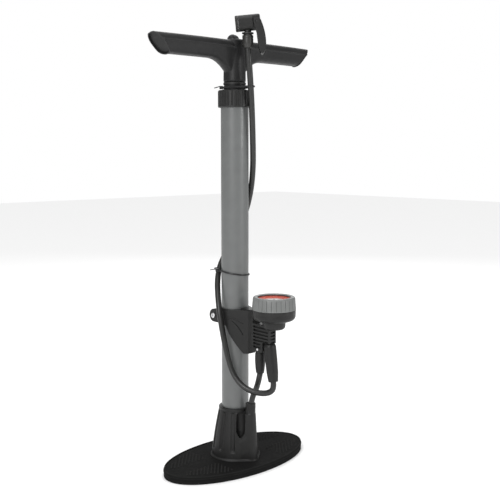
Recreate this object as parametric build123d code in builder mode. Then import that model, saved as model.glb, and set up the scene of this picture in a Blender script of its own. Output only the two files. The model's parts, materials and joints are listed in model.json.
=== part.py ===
from build123d import *
import os
from math import acos, atan2, cos, degrees, hypot, pi, radians, sin, tan

# Floor pump for bicycle tyres, in millimetres. +Z is up and the origin is on the barrel's axis, on the
# floor. The foot and the handle lie along X. The gauge, the hoses and the stowed head are on the -Y side.

os.makedirs("parts", exist_ok=True)

# ---------------------------------------------------------------------------------------------------------
# Driving dimensions
# ---------------------------------------------------------------------------------------------------------
foot_length = 240.0
foot_width = 124.0
foot_rim = 9.6              # height of the foot's vertical edge
foot_crown = 3.2            # how far the middle of the foot stands above that edge
foot_skin = 3.6             # wall over the ribbed underside
rib_pitch = 24.0
rib_wall = 2.4

tower_height = 81.0
tower_wall = 3.4            # wall round the barrel at the tower's top
tower_spread = 11.5         # how much the tower's radius grows down to the foot

barrel_diameter = 38.0
barrel_wall = 1.5
barrel_length = 488.5
socket_floor = 20.0         # the valve seat's underside, inside the tower

rod_diameter = 12.0
handle_span = 276.0
grip_height = 28.0
grip_depth = 27.0
column_diameter = 30.4
stroke = 430.0

hose_diameter = 8.0
gauge_reach = 77.7          # barrel axis to gauge axis
gauge_diameter = 59.2       # over the grip ring
sleeve_wall = 3.5
tie_width = 2.6
tie_thickness = 1.2
head_diameter = 21.0
head_length = 33.0
chuck_bore = 8.2            # what a tyre valve goes into

# Clearances
fit_gap = 0.05              # running fit, on the radius
seat_gap = 0.10             # parts that are assembled by hand, on the radius
free_gap = 0.40             # parts that pass each other

# ---------------------------------------------------------------------------------------------------------
# Worked out from those
# ---------------------------------------------------------------------------------------------------------
barrel_r = barrel_diameter / 2
bore_r = barrel_r - barrel_wall
socket_r = barrel_r + fit_gap
seat_disc = 4.0             # thickness of the valve seat
gasket = 1.5                # thickness of the gasket between seat and barrel
barrel_z = socket_floor + seat_disc + gasket
barrel_top = barrel_z + barrel_length

tower_top_r = barrel_r + tower_wall
tower_base_r = tower_top_r + tower_spread
foot_top = foot_rim + foot_crown

boss_r = 7.0                # hose boss, at its top
boss_y = -(tower_top_r + boss_r + 2.6)
boss_top = tower_height + 6.0
channel_r = 2.4             # air channel in the foot
channel_z = 16.0

cap_skirt = 16.0            # how far the cap reaches down over the barrel
cap_wall = 3.2
cap_r = barrel_r + cap_wall + 0.6
cap_z = barrel_top - cap_skirt
collar_top = cap_z + 23.0
neck_r = 15.4
neck_top = collar_top + 11.0

rod_r = rod_diameter / 2
column_r = column_diameter / 2
column_z = neck_top + free_gap
grip_z = neck_top + 42.3    # mid-height of the grips
grip_top = grip_z + grip_height / 2
grip_low = grip_z - grip_height / 2

piston_r = bore_r - 0.3
piston_z = barrel_z + 3.0

# how a cylinder or box stands on its place instead of round it
standing = (Align.CENTER, Align.CENTER, Align.MIN)

# ---------------------------------------------------------------------------------------------------------
# Foot: ribbed plate, and the tower with the barrel's socket and the hose boss, bonded on top of it
# ---------------------------------------------------------------------------------------------------------
pocket_inset = 7.0
boss_base_r = boss_r + 5.0
dome_inset = 30.0
counterbore = 5.0           # depth of the hose's socket in the boss
skirt_top = 38.0
web_width = 9.0
chamber_r = 9.0
chamber_z = 6.0

with BuildSketch() as rib_pockets:
    Ellipse(foot_length / 2 - pocket_inset, foot_width / 2 - pocket_inset)
    Circle(tower_base_r - 4.0, mode=Mode.SUBTRACT)
    with Locations((0, boss_y)):
        Circle(boss_base_r, mode=Mode.SUBTRACT)
    with GridLocations(rib_pitch, 2 * foot_width, 11, 1):
        Rectangle(rib_wall, 2 * foot_width, mode=Mode.SUBTRACT)
    with GridLocations(2 * foot_length, rib_pitch, 1, 5):
        Rectangle(2 * foot_length, rib_wall, mode=Mode.SUBTRACT)

with BuildPart() as base:
    with BuildSketch():
        Ellipse(foot_length / 2, foot_width / 2)
    extrude(amount=foot_rim)
    with BuildSketch(Plane.XY.offset(foot_rim)):
        Ellipse(foot_length / 2 - 1.4, foot_width / 2 - 1.4)
    with BuildSketch(Plane.XY.offset(foot_top)):
        Ellipse(foot_length / 2 - dome_inset, foot_width / 2 - dome_inset / 2)
    loft()
    with BuildSketch(Plane.XZ):
        with BuildLine():
            Polyline(
                (0, foot_rim),
                (tower_base_r + 8.0, foot_rim),
                (tower_base_r + 8.0, foot_top),
            )
            RadiusArc((tower_base_r + 8.0, foot_top), (tower_base_r, foot_top + 12.0), 11.0)
            ThreePointArc(
                (tower_base_r, foot_top + 12.0),
                (tower_base_r - 4.2, foot_top + 37.0),
                (tower_top_r, tower_height),
            )
            Polyline((tower_top_r, tower_height), (0, tower_height), (0, foot_rim))
        make_face()
    revolve(axis=Axis.Z)
    with BuildSketch(Plane.XY.offset(foot_rim)):
        with Locations((0, boss_y)):
            Circle(boss_base_r)
    with BuildSketch(Plane.XY.offset(boss_top)):
        with Locations((0, boss_y)):
            Circle(boss_r)
    loft()
    # the tower and the boss share one skirt below, and a narrow web joins them above it
    with BuildSketch(Plane.XY.offset(foot_rim)):
        Circle(tower_base_r - 1.0)
        with Locations((0, boss_y)):
            Circle(boss_base_r)
        make_hull()
    with BuildSketch(Plane.XY.offset(skirt_top)):
        Circle(tower_base_r - 5.0)
        with Locations((0, boss_y)):
            Circle(boss_r + 2.6)
        make_hull()
    loft()
    with BuildSketch(Plane.XY.offset(foot_rim)):
        with Locations((0, boss_y / 2)):
            Rectangle(web_width, -boss_y)
    extrude(amount=tower_height - foot_rim - 4.0)
    # socket for the barrel and the chamber below the valve seat
    with Locations((0, 0, socket_floor)):
        Cylinder(socket_r, tower_height, align=standing, mode=Mode.SUBTRACT)
    with Locations((0, 0, chamber_z)):
        Cylinder(chamber_r, socket_floor, align=standing, mode=Mode.SUBTRACT)
    # air channel from the chamber to the boss
    with Locations((0, boss_y, channel_z)):
        Cylinder(channel_r, boss_top, align=standing, mode=Mode.SUBTRACT)
        Cylinder(channel_r, -boss_y, rotation=(-90, 0, 0),
                 align=standing, mode=Mode.SUBTRACT)
    with Locations((0, boss_y, boss_top - counterbore)):
        Cylinder(hose_diameter / 2 + 1.0, counterbore + 1.0,
                 align=standing, mode=Mode.SUBTRACT)
    barb_seat_r = 3.5
    barb_length = 12.0
    with Locations((0, boss_y, boss_top - counterbore - barb_length)):
        Cylinder(barb_seat_r, barb_length + 1.0,
                 align=standing, mode=Mode.SUBTRACT)
    extrude(rib_pockets.sketch, amount=foot_rim - foot_skin, mode=Mode.SUBTRACT)
for name, kept in (("foot", Keep.BOTTOM), ("barrel_socket", Keep.TOP)):
    with BuildPart() as base_half:
        add(base.part)
        split(bisect_by=Plane.XY.offset(foot_top), keep=kept)
    base_half.part.label = name
    export_step(base_half.part, f"parts/{name}.step")

# ---------------------------------------------------------------------------------------------------------
# Barrel and the check valve below it
# ---------------------------------------------------------------------------------------------------------
with BuildPart() as barrel:
    with BuildSketch(Plane.XY.offset(barrel_z)):
        Circle(barrel_r)
        Circle(bore_r, mode=Mode.SUBTRACT)
    extrude(amount=barrel_length)
barrel.part.label = "barrel"
export_step(barrel.part, "parts/barrel.step")

seat_hole_r = 3.0
with BuildPart() as valve_seat:
    with BuildSketch(Plane.XY.offset(socket_floor)):
        Circle(socket_r - seat_gap)
        Circle(seat_hole_r, mode=Mode.SUBTRACT)
    extrude(amount=seat_disc)
    chamfer(valve_seat.edges().group_by(Axis.Z)[-1], 0.5)
valve_seat.part.label = "valve_seat"
export_step(valve_seat.part, "parts/valve_seat.step")

with BuildPart() as base_gasket:
    with BuildSketch(Plane.XY.offset(socket_floor + seat_disc)):
        Circle(socket_r - seat_gap)
        Circle(bore_r, mode=Mode.SUBTRACT)
    extrude(amount=gasket)
base_gasket.part.label = "base_gasket"
export_step(base_gasket.part, "parts/base_gasket.step")

poppet_top = socket_floor - 0.05
poppet_lift = 1.6
with BuildPart() as valve_poppet:
    with BuildSketch(Plane.XZ):
        with BuildLine():
            Polyline(
                (0, poppet_top),
                (5.0, poppet_top),
                (5.0, poppet_top - 1.8),
                (1.6, poppet_top - 2.4),
                (1.6, chamber_z + 3.4),
                (0, chamber_z + 3.4),
                (0, poppet_top),
            )
        make_face()
    revolve(axis=Axis.Z)
valve_poppet.part.label = "valve_poppet"
export_step(valve_poppet.part, "parts/valve_poppet.step")

spring_wire = 0.7
spring_r = 3.0
spring_height = poppet_top - 2.9 - spring_wire - chamber_z
with BuildPart() as valve_spring:
    with BuildLine(Plane.XY.offset(chamber_z + spring_wire / 2 + 0.1)) as spring_line:
        Helix(pitch=spring_height / 4, height=spring_height, radius=spring_r)
    with BuildSketch(Plane(origin=spring_line.line @ 0, z_dir=spring_line.line % 0)):
        Circle(spring_wire / 2)
    sweep(is_frenet=True)
valve_spring.part.label = "valve_spring"
export_step(valve_spring.part, "parts/valve_spring.step")

with BuildPart() as base_barb:
    with BuildSketch(Plane.XY.offset(boss_top - counterbore - barb_length)):
        with Locations((0, boss_y)):
            Circle(barb_seat_r - fit_gap)
            Circle(1.6, mode=Mode.SUBTRACT)
    extrude(amount=barb_length)
base_barb.part.label = "base_barb"
export_step(base_barb.part, "parts/base_barb.step")

# ---------------------------------------------------------------------------------------------------------
# Top cap: ribbed collar screwed over the barrel, with a grooved neck the rod comes out of
# ---------------------------------------------------------------------------------------------------------
cap_flutes = 28
groove_r = 0.9
rod_hole_r = rod_r + 0.5
with BuildPart() as top_cap:
    with BuildSketch(Plane.XZ):
        with BuildLine():
            Polyline(
                (rod_hole_r, cap_z + cap_skirt + 3.0),
                (rod_hole_r, neck_top),
                (neck_r - 0.8, neck_top),
                (neck_r, neck_top - 0.8),
                (neck_r, neck_top - 3.2),
                (neck_r - groove_r, neck_top - 3.9),
                (neck_r - groove_r, neck_top - 5.2),
                (neck_r, neck_top - 5.9),
                (neck_r - 0.6, neck_top - 6.6),
                (neck_r - 0.6, collar_top + 1.6),
                (neck_r + 4.2, collar_top),
                (cap_r - 1.0, collar_top),
                (cap_r, collar_top - 1.4),
                (cap_r, cap_z + 1.0),
                (cap_r - 0.8, cap_z),
                (barrel_r + fit_gap, cap_z),
                (barrel_r + fit_gap, cap_z + cap_skirt),
                (bore_r - 1.2, cap_z + cap_skirt),
                (bore_r - 1.2, cap_z + cap_skirt + 3.0),
                (rod_hole_r, cap_z + cap_skirt + 3.0),
            )
        make_face()
    revolve(axis=Axis.Z)
    with BuildSketch(Plane.XY.offset(cap_z + 2.0)):
        with PolarLocations(cap_r + 0.5, cap_flutes):
            Circle(1.25)
    extrude(amount=collar_top - cap_z, mode=Mode.SUBTRACT)
top_cap.part.label = "top_cap"
export_step(top_cap.part, "parts/top_cap.step")

bushing_length = 14.0
bushing_z = barrel_top - bushing_length
with BuildPart() as rod_bushing:
    with BuildSketch(Plane.XY.offset(bushing_z)):
        Circle(bore_r - seat_gap)
        Circle(rod_r + fit_gap, mode=Mode.SUBTRACT)
    extrude(amount=bushing_length)
    chamfer(rod_bushing.faces().sort_by(Axis.Z)[0].outer_wire().edges(), 1.0)
rod_bushing.part.label = "rod_bushing"
export_step(rod_bushing.part, "parts/rod_bushing.step")

with BuildPart() as rod_wiper:
    with BuildSketch(Plane.XY.offset(barrel_top)):
        Circle(bore_r - 1.2 - seat_gap)
        Circle(rod_r + fit_gap, mode=Mode.SUBTRACT)
    extrude(amount=2.8)
rod_wiper.part.label = "rod_wiper"
export_step(rod_wiper.part, "parts/rod_wiper.step")

# ---------------------------------------------------------------------------------------------------------
# Handle, rod and piston: what moves up and down
# ---------------------------------------------------------------------------------------------------------
rod_top = grip_z + 6.0
half_span = handle_span / 2
arm_root = 46.0             # where the arms' undersides leave the column's fillet
end_rake = 22.0             # how far the arm's underside stops short of its tip
gusset = 18.0               # width of the web under each arm
with BuildPart() as handle:
    for side in (-1, 1):
        for inner, outer in ((0.0, arm_root), (arm_root, 0.75 * half_span), (0.75 * half_span, half_span)):
            for along in (inner, outer):
                droop = 1.6 * (along / half_span) ** 2
                with BuildSketch(Plane.YZ.offset(side * along)):
                    with Locations((0, grip_z - droop)):
                        RectangleRounded(grip_depth, grip_height - 0.6 * droop, 8.0)
            loft()
        # gusset under the arm
        with BuildSketch(Plane.XZ.offset(gusset / 2)):
            with BuildLine():
                under = ThreePointArc(
                    (side * (column_r - 1.0), grip_low - 16.0),
                    (side * (column_r + 7.0), grip_low - 2.0),
                    (side * arm_root, grip_low + 2.0),
                )
                Polyline(under @ 1, (side * arm_root, grip_z), (0, grip_z), (0, grip_low - 16.0), under @ 0)
            make_face()
        extrude(amount=-gusset)
        # raked end
        with BuildSketch(Plane.XZ.offset(grip_depth)):
            with BuildLine():
                Polyline(
                    (side * (half_span - end_rake), grip_low - 4.0),
                    (side * (half_span - 0.8), grip_z + 3.0),
                    (side * (half_span - 7.0), grip_top + 4.0),
                    (side * (half_span + 20.0), grip_top + 4.0),
                    (side * (half_span + 20.0), grip_low - 4.0),
                    close=True,
                )
            make_face()
        extrude(amount=-2 * grip_depth, mode=Mode.SUBTRACT)
    with Locations((0, 0, column_z)):
        Cylinder(column_r, grip_top + 1.6 - column_z, align=standing)
    fillet(handle.faces().sort_by(Axis.Z)[-1].edges(), 1.2)
    # rounded button on the hub's crown, behind the rod
    with Locations((0, 5.5, grip_top - 0.4)):
        Sphere(8.0)
    with Locations((0, 0, column_z - 1.0)):
        Cylinder(rod_r + fit_gap, rod_top - column_z + 1.0,
                 align=standing, mode=Mode.SUBTRACT)
    pin_r = 2.0
    with Locations((0, 0, grip_z - 12.0)):
        Cylinder(pin_r, 4 * column_r, rotation=(90, 0, 0), mode=Mode.SUBTRACT)
handle.part.label = "handle"
export_step(handle.part, "parts/handle.step")

piston_height = 18.0
nut_height = 5.0
washer_height = 1.5
rod_bottom = piston_z + nut_height + washer_height
with BuildPart() as piston_rod:
    with BuildSketch(Plane.XY.offset(rod_bottom)):
        Circle(rod_r)
    extrude(amount=rod_top - rod_bottom)
    with BuildSketch(Plane.XY.offset(piston_z)):
        Circle(3.0)
    extrude(amount=rod_bottom - piston_z)
    with Locations((0, 0, grip_z - 12.0)):
        Cylinder(pin_r, 2 * column_r, rotation=(90, 0, 0), mode=Mode.SUBTRACT)
piston_rod.part.label = "piston_rod"
export_step(piston_rod.part, "parts/piston_rod.step")

with BuildPart() as handle_pin:
    with Locations((0, 0, grip_z - 12.0)):
        Cylinder(pin_r - fit_gap, 2 * column_r - 3.0, rotation=(90, 0, 0))
handle_pin.part.label = "handle_pin"
export_step(handle_pin.part, "parts/handle_pin.step")

seal_groove = 5.0
seal_depth = 3.0
seal_low = rod_bottom + 6.5
with BuildPart() as piston:
    with BuildSketch(Plane.XZ):
        with BuildLine():
            Polyline(
                (rod_r + fit_gap, rod_bottom),
                (piston_r, rod_bottom),
                (piston_r, seal_low),
                (piston_r - seal_depth, seal_low),
                (piston_r - seal_depth, seal_low + seal_groove),
                (piston_r, seal_low + seal_groove),
                (piston_r, rod_bottom + piston_height),
                (rod_r + fit_gap, rod_bottom + piston_height),
                (rod_r + fit_gap, rod_bottom),
            )
        make_face()
    revolve(axis=Axis.Z)
piston.part.label = "piston"
export_step(piston.part, "parts/piston.step")

with BuildPart() as piston_seal:
    with BuildSketch(Plane.XY.offset(seal_low + seat_gap)):
        Circle(bore_r - fit_gap)
        Circle(piston_r - seal_depth + seat_gap, mode=Mode.SUBTRACT)
    extrude(amount=seal_groove - 2 * seat_gap)
piston_seal.part.label = "piston_seal"
export_step(piston_seal.part, "parts/piston_seal.step")

with BuildPart() as piston_washer:
    with BuildSketch(Plane.XY.offset(piston_z + nut_height)):
        Circle(9.0)
        Circle(3.0 + seat_gap, mode=Mode.SUBTRACT)
    extrude(amount=washer_height)
piston_washer.part.label = "piston_washer"
export_step(piston_washer.part, "parts/piston_washer.step")

with BuildPart() as piston_nut:
    with BuildSketch(Plane.XY.offset(piston_z)):
        RegularPolygon(5.0, 6, major_radius=False)
        Circle(3.0 + fit_gap, mode=Mode.SUBTRACT)
    extrude(amount=nut_height)
piston_nut.part.label = "piston_nut"
export_step(piston_nut.part, "parts/piston_nut.step")

bumper_height = 7.0
with BuildPart() as stroke_bumper:
    with BuildSketch(Plane.XY.offset(rod_bottom + piston_height)):
        Circle(11.0)
        Circle(rod_r + fit_gap, mode=Mode.SUBTRACT)
    extrude(amount=bumper_height)
    fillet(stroke_bumper.faces().sort_by(Axis.Z)[-1].outer_wire().edges(), 2.0)
stroke_bumper.part.label = "stroke_bumper"
export_step(stroke_bumper.part, "parts/stroke_bumper.step")
print("room above the bumper at the top of the stroke:",
      round(bushing_z - (rod_bottom + piston_height + bumper_height + stroke), 2))

# ---------------------------------------------------------------------------------------------------------
# Gauge bracket: sleeve clamped round the barrel, hollow louvred arm to the gauge
# ---------------------------------------------------------------------------------------------------------
sleeve_in = barrel_r + fit_gap
sleeve_r = barrel_r + sleeve_wall
sleeve_low = 162.0
sleeve_top = 222.0
arm_half = 6.2              # half the arm's width
arm_wall = 2.4
arm_low = 168.0
arm_step = 182.0            # underside of the arm's outer half, over the delivery connector
arm_top = 206.5
arm_front = 2.2 - gauge_reach
arm_split = 18.2 - gauge_reach
column_front = -42.5        # front of the taller part next to the sleeve
column_half = arm_half + 1.0
cheek_front = -34.5         # where the cheeks that flow out of the sleeve end on the column
ear_y = 38.6                # clamp screw's place behind the barrel
ear_z = 205.7
ear_r = 9.5
screw_head_r = 3.8
clamp_slot = 3.0
ear_thickness = 5.0
louvre_pitch = 4.6
louvre_height = 2.2
louvre_depth = 1.4

with BuildSketch(Plane.YZ) as ear_outline:
    with BuildLine():
        Polyline(
            (ear_y - 2.0, ear_z + ear_r),
            (sleeve_r - 2.0, sleeve_top - 0.5),
            (sleeve_r - 2.0, ear_z - ear_r),
            (ear_y - 2.0, ear_z - ear_r),
            close=True,
        )
    make_face()
    with Locations((ear_y, ear_z)):
        Circle(ear_r)
    with Locations((ear_y - 2.0, ear_z)):
        Circle(ear_r)

with BuildPart() as gauge_bracket:
    with BuildSketch(Plane.XY.offset(sleeve_low)):
        Circle(sleeve_r)
    extrude(amount=sleeve_top - sleeve_low)
    # cheeks leave the sleeve on its tangents and narrow to the column
    tangent_turn = degrees(acos(sleeve_r / hypot(column_half, cheek_front)))
    tangent_angle = degrees(atan2(cheek_front, column_half)) + tangent_turn
    tangent_x = sleeve_r * cos(radians(tangent_angle))
    tangent_y = sleeve_r * sin(radians(tangent_angle))
    with BuildSketch(Plane.XY.offset(sleeve_low)):
        with BuildLine():
            Polyline(
                (tangent_x, tangent_y),
                (column_half, cheek_front),
                (-column_half, cheek_front),
                (-tangent_x, tangent_y),
                close=True,
            )
        make_face()
    extrude(amount=sleeve_top - sleeve_low)
    # the lower edge sweeps up from the arm to a narrow band behind
    with BuildSketch(Plane.YZ):
        with BuildLine():
            lip = ThreePointArc((-28.0, sleeve_low), (-15.0, 179.0), (-4.5, 199.0))
            Polyline(lip @ 1, (2 * barrel_r, 203.0), (2 * barrel_r, sleeve_low - 1.0),
                     (-28.0, sleeve_low - 1.0), lip @ 0)
        make_face()
    extrude(amount=2 * barrel_r, both=True, mode=Mode.SUBTRACT)
    extrude(ear_outline.sketch, amount=clamp_slot / 2 + ear_thickness, both=True)
    with Locations((0, (column_front - sleeve_r) / 2 + 1.0, (arm_low + sleeve_top) / 2 + 1.0)):
        Box(2 * column_half, -column_front - sleeve_r + 4.0, sleeve_top - arm_low + 2.0)
    with Locations((0, (arm_split - sleeve_r) / 2, (arm_low + arm_top) / 2)):
        Box(2 * arm_half, -arm_split - sleeve_r + 4.0, arm_top - arm_low)
    with Locations((0, (arm_front + arm_split) / 2 + 0.5, (arm_step + arm_top) / 2)):
        Box(2 * arm_half, arm_split - arm_front + 1.0, arm_top - arm_step)
    # barrel bore and clamp slot
    with Locations((0, 0, (sleeve_low + sleeve_top) / 2)):
        Cylinder(sleeve_in, 2 * (sleeve_top - sleeve_low), mode=Mode.SUBTRACT)
    with Locations((0, 2 * barrel_r, (sleeve_low + sleeve_top) / 2)):
        Box(clamp_slot, 3 * barrel_r, 2 * (sleeve_top - sleeve_low), mode=Mode.SUBTRACT)
    with Locations((0, ear_y, ear_z)):
        Cylinder(2.0 + seat_gap, 40.0, rotation=(0, 90, 0), mode=Mode.SUBTRACT)
    # the arm is hollow and open at its stepped underside
    hollow_back = column_front - 1.0
    hollow_front = arm_front + arm_wall
    with Locations((0, (hollow_back + hollow_front) / 2, (arm_low + arm_top - arm_wall) / 2 - 1.0)):
        Box(2 * (arm_half - arm_wall), hollow_back - hollow_front, arm_top - arm_wall - arm_low + 2.0,
            mode=Mode.SUBTRACT)
    # blind louvres in both sides and the front
    for row in range(7):
        louvre_z = arm_top - 4.4 - row * louvre_pitch
        slot_front = arm_front + 3.0 if louvre_z > arm_step + 3.0 else arm_split + 2.0
        slot_length = column_front - 1.5 - slot_front
        with Locations(*[(side * arm_half, slot_front + slot_length / 2, louvre_z) for side in (-1, 1)]):
            Box(2 * louvre_depth, slot_length, louvre_height, mode=Mode.SUBTRACT)
        if louvre_z > arm_step + 3.0:
            with Locations((0, arm_front, louvre_z)):
                Box(2 * arm_half - 4.4, 2 * louvre_depth, louvre_height, mode=Mode.SUBTRACT)
    # opening for the gauge's stem
    stem_y = arm_split - 9.0
    stem_r = 3.0
    with Locations((0, stem_y, arm_top)):
        Cylinder(stem_r + seat_gap, 4 * arm_wall, mode=Mode.SUBTRACT)
gauge_bracket.part.label = "gauge_bracket"
export_step(gauge_bracket.part, "parts/gauge_bracket.step")

ear_face = clamp_slot / 2 + ear_thickness
with BuildPart() as clamp_screw:
    with BuildSketch(Plane.YZ.offset(-ear_face - 2.4)):
        with Locations((ear_y, ear_z)):
            Circle(screw_head_r)
    extrude(amount=2.4)
    with BuildSketch(Plane.YZ.offset(-ear_face)):
        with Locations((ear_y, ear_z)):
            Circle(2.0)
    extrude(amount=2 * ear_face + 3.0)
    fillet(clamp_screw.faces().sort_by(Axis.X)[0].edges(), 1.2)
    with Locations((-ear_face - 2.4, ear_y, ear_z)):
        Box(2.0, 3.6, 0.8, mode=Mode.SUBTRACT)
        Box(2.0, 0.8, 3.6, mode=Mode.SUBTRACT)
clamp_screw.part.label = "clamp_screw"
export_step(clamp_screw.part, "parts/clamp_screw.step")

with BuildPart() as clamp_nut:
    with BuildSketch(Plane.YZ.offset(ear_face)):
        with Locations((ear_y, ear_z)):
            RegularPolygon(3.5, 6, major_radius=False)
            Circle(2.0 + fit_gap, mode=Mode.SUBTRACT)
    extrude(amount=3.0)
clamp_nut.part.label = "clamp_nut"
export_step(clamp_nut.part, "parts/clamp_nut.step")

# ---------------------------------------------------------------------------------------------------------
# Air block in the arm, its fittings and the two hose connectors
# ---------------------------------------------------------------------------------------------------------
supply_y = (column_front + arm_split) / 2
supply_exit = 137.0         # where the supply hose leaves its connector
fitting_r = 2.6
block_low = 184.5
block_top = 196.0
block_half = arm_half - arm_wall - 0.2
boot_r = 8.4
delivery_top = Vector(-1.0, 7.1 - gauge_reach, 181.5)
delivery_exit = Vector(-1.0, -0.2 - gauge_reach, 130.5)
delivery_axis = (delivery_exit - delivery_top).normalized()

with BuildPart() as air_block:
    with Locations((0, (supply_y + stem_y) / 2, (block_low + block_top) / 2)):
        Box(2 * block_half, supply_y - stem_y + 9.0, block_top - block_low)
    with Locations((0, supply_y, block_low)):
        Cylinder(1.5, 12.0, mode=Mode.SUBTRACT)
    with Locations((0, stem_y, block_top)):
        Cylinder(1.5, 12.0, mode=Mode.SUBTRACT)
    with Locations((0, (supply_y + stem_y) / 2, (block_low + block_top) / 2)):
        Cylinder(1.5, supply_y - stem_y + 1.5, rotation=(90, 0, 0), mode=Mode.SUBTRACT)
air_block.part.label = "air_block"
export_step(air_block.part, "parts/air_block.step")

with BuildPart() as inlet_fitting:
    with BuildSketch(Plane.XY.offset(supply_exit + 12.0)):
        with Locations((0, supply_y)):
            Circle(fitting_r)
            Circle(1.4, mode=Mode.SUBTRACT)
    extrude(amount=block_low - supply_exit - 12.0)
inlet_fitting.part.label = "inlet_fitting"
export_step(inlet_fitting.part, "parts/inlet_fitting.step")

with BuildPart() as supply_connector:
    with BuildSketch(Plane.XZ):
        with BuildLine():
            Polyline(
                (fitting_r + fit_gap, supply_exit + 11.5),
                (0, supply_exit + 11.5),
                (0, supply_exit),
                (5.0, supply_exit),
                (5.7, supply_exit + 1.0),
                (6.7, supply_exit + 9.0),
                (7.1, supply_exit + 20.0),
                (6.7, arm_low - 0.3),
                (fitting_r + fit_gap, arm_low - 0.3),
                (fitting_r + fit_gap, supply_exit + 11.5),
            )
        make_face()
    revolve(axis=Axis.Z)
supply_connector.part = supply_connector.part.moved(Location((0, supply_y, 0)))
supply_connector.part.label = "supply_connector"
export_step(supply_connector.part, "parts/supply_connector.step")

connector_length = (delivery_exit - delivery_top).length
delivery_plane = Plane(origin=delivery_exit, x_dir=(1, 0, 0), z_dir=-delivery_axis)
with BuildPart(delivery_plane) as delivery_connector:
    for low, high, low_r, high_r in (
        (0.0, 12.0, boot_r - 1.8, boot_r - 0.5),
        (12.0, 30.0, boot_r - 0.5, boot_r),
        (30.0, connector_length - 5.0, boot_r, boot_r),
    ):
        with BuildSketch(delivery_plane.offset(low)):
            Circle(low_r)
        with BuildSketch(delivery_plane.offset(high)):
            Circle(high_r)
        loft()
    with Locations((0, 0, connector_length - 5.0)):
        Sphere(boot_r)
    # flat that clears the arm's underside
    with Locations((0, 0, connector_length + 0.5)):
        Box(30.0, 30.0, 10.0, align=standing, mode=Mode.SUBTRACT)
    with Locations((0, 0, connector_length - 30.0)):
        Cylinder(fitting_r + fit_gap, 60.0, align=standing,
                 mode=Mode.SUBTRACT)
with BuildPart() as arm_clearance:
    with Locations((0, (arm_front + arm_split) / 2, arm_step - 0.3)):
        Box(60.0, 60.0, 40.0, align=standing)
    with Locations((0, arm_split + 0.3, arm_low - 40.0)):
        Box(60.0, 60.0, 200.0, align=(Align.CENTER, Align.MIN, Align.MIN))
delivery_connector.part = delivery_connector.part - arm_clearance.part
delivery_connector.part.label = "delivery_connector"
export_step(delivery_connector.part, "parts/delivery_connector.step")

with BuildPart() as outlet_fitting:
    with BuildSketch(delivery_plane.offset(connector_length - 29.5)):
        Circle(fitting_r)
        Circle(1.4, mode=Mode.SUBTRACT)
    extrude(amount=34.0)
outlet_fitting.part = outlet_fitting.part - air_block.part
outlet_fitting.part.label = "outlet_fitting"
export_step(outlet_fitting.part, "parts/outlet_fitting.step")

bracket_screw_y = supply_y - 2.0
bracket_screw_z = arm_low + 3.4
with BuildPart() as bracket_screws:
    for side in (-1, 1):
        with BuildSketch(Plane.YZ.offset(side * arm_half)):
            with Locations((bracket_screw_y, bracket_screw_z)):
                Circle(1.7)
        extrude(amount=side * 1.2)
bracket_screws.part.label = "bracket_screws"
export_step(bracket_screws.part, "parts/bracket_screws.step")

# ---------------------------------------------------------------------------------------------------------
# Pressure gauge: case, ring, red flange, dial, pointer, lens and the spring tube that drives it
# ---------------------------------------------------------------------------------------------------------
ring_r = gauge_diameter / 2
ring_top_r = ring_r - 1.2
ring_low = 229.6
ring_top = 246.7
ring_lip = 1.5
case_low = 214.5
case_wall = 2.0
spigot_r = ring_r - 3.4
cavity_r = spigot_r - case_wall
saddle_r = 15.0
dial_z = 240.2
flange_top = dial_z + 3.6
lens_low = flange_top + 0.1
lens_thickness = 1.0
flange_r = cavity_r - 6.7
gauge_at = Location((0, -gauge_reach, 0))

with BuildPart() as gauge_case:
    with BuildSketch(Plane.XZ):
        with BuildLine():
            Polyline(
                (0, arm_top + 0.1),
                (saddle_r - 2.0, arm_top + 0.1),
                (saddle_r, arm_top + 2.0),
                (saddle_r, case_low),
                (ring_r - 8.0, case_low),
            )
            RadiusArc((ring_r - 8.0, case_low), (ring_r - 0.6, case_low + 6.6), -7.2)
            Polyline(
                (ring_r - 0.6, case_low + 6.6),
                (ring_r - 0.3, ring_low - 0.2),
                (spigot_r, ring_low - 0.2),
                (spigot_r, lens_low + lens_thickness),
                (cavity_r, lens_low + lens_thickness),
                (cavity_r, case_low + 3.0),
                (0, case_low + 3.0),
                (0, arm_top + 0.1),
            )
        make_face()
    revolve(axis=Axis.Z)
    with Locations((0, stem_y + gauge_reach, arm_top)):
        Cylinder(stem_r + seat_gap, 40.0, mode=Mode.SUBTRACT)
gauge_case.part = gauge_case.part.moved(gauge_at)
gauge_case.part.label = "gauge_case"
export_step(gauge_case.part, "parts/gauge_case.step")

ring_flats = 28
with BuildPart() as gauge_ring:
    with BuildSketch(Plane.XZ):
        with BuildLine():
            Polyline(
                (spigot_r + seat_gap, ring_low),
                (ring_r, ring_low),
                (ring_top_r, ring_top - 1.6),
                (ring_top_r - 1.6, ring_top),
                (ring_top_r - 5.0, ring_top),
                (ring_top_r - 6.2, ring_top - 0.8),
                (ring_top_r - 6.2, ring_top - ring_lip),
                (spigot_r + seat_gap, ring_top - ring_lip),
                (spigot_r + seat_gap, ring_low),
            )
        make_face()
    revolve(axis=Axis.Z)
    with BuildSketch(Plane.XY.offset(ring_low + 1.6)):
        with PolarLocations(ring_r + 0.35, ring_flats):
            Circle(0.9)
    extrude(amount=ring_top - ring_low, mode=Mode.SUBTRACT)
gauge_ring.part = gauge_ring.part.moved(gauge_at)
gauge_ring.part.label = "gauge_ring"
export_step(gauge_ring.part, "parts/gauge_ring.step")

arbor_r = 1.0
with BuildPart() as gauge_dial:
    with BuildSketch(Plane.XY.offset(dial_z)):
        Circle(cavity_r - seat_gap)
        Circle(arbor_r + 0.5, mode=Mode.SUBTRACT)
    extrude(amount=0.8)
gauge_dial.part = gauge_dial.part.moved(gauge_at)
gauge_dial.part.label = "gauge_dial"
export_step(gauge_dial.part, "parts/gauge_dial.step")

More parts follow.
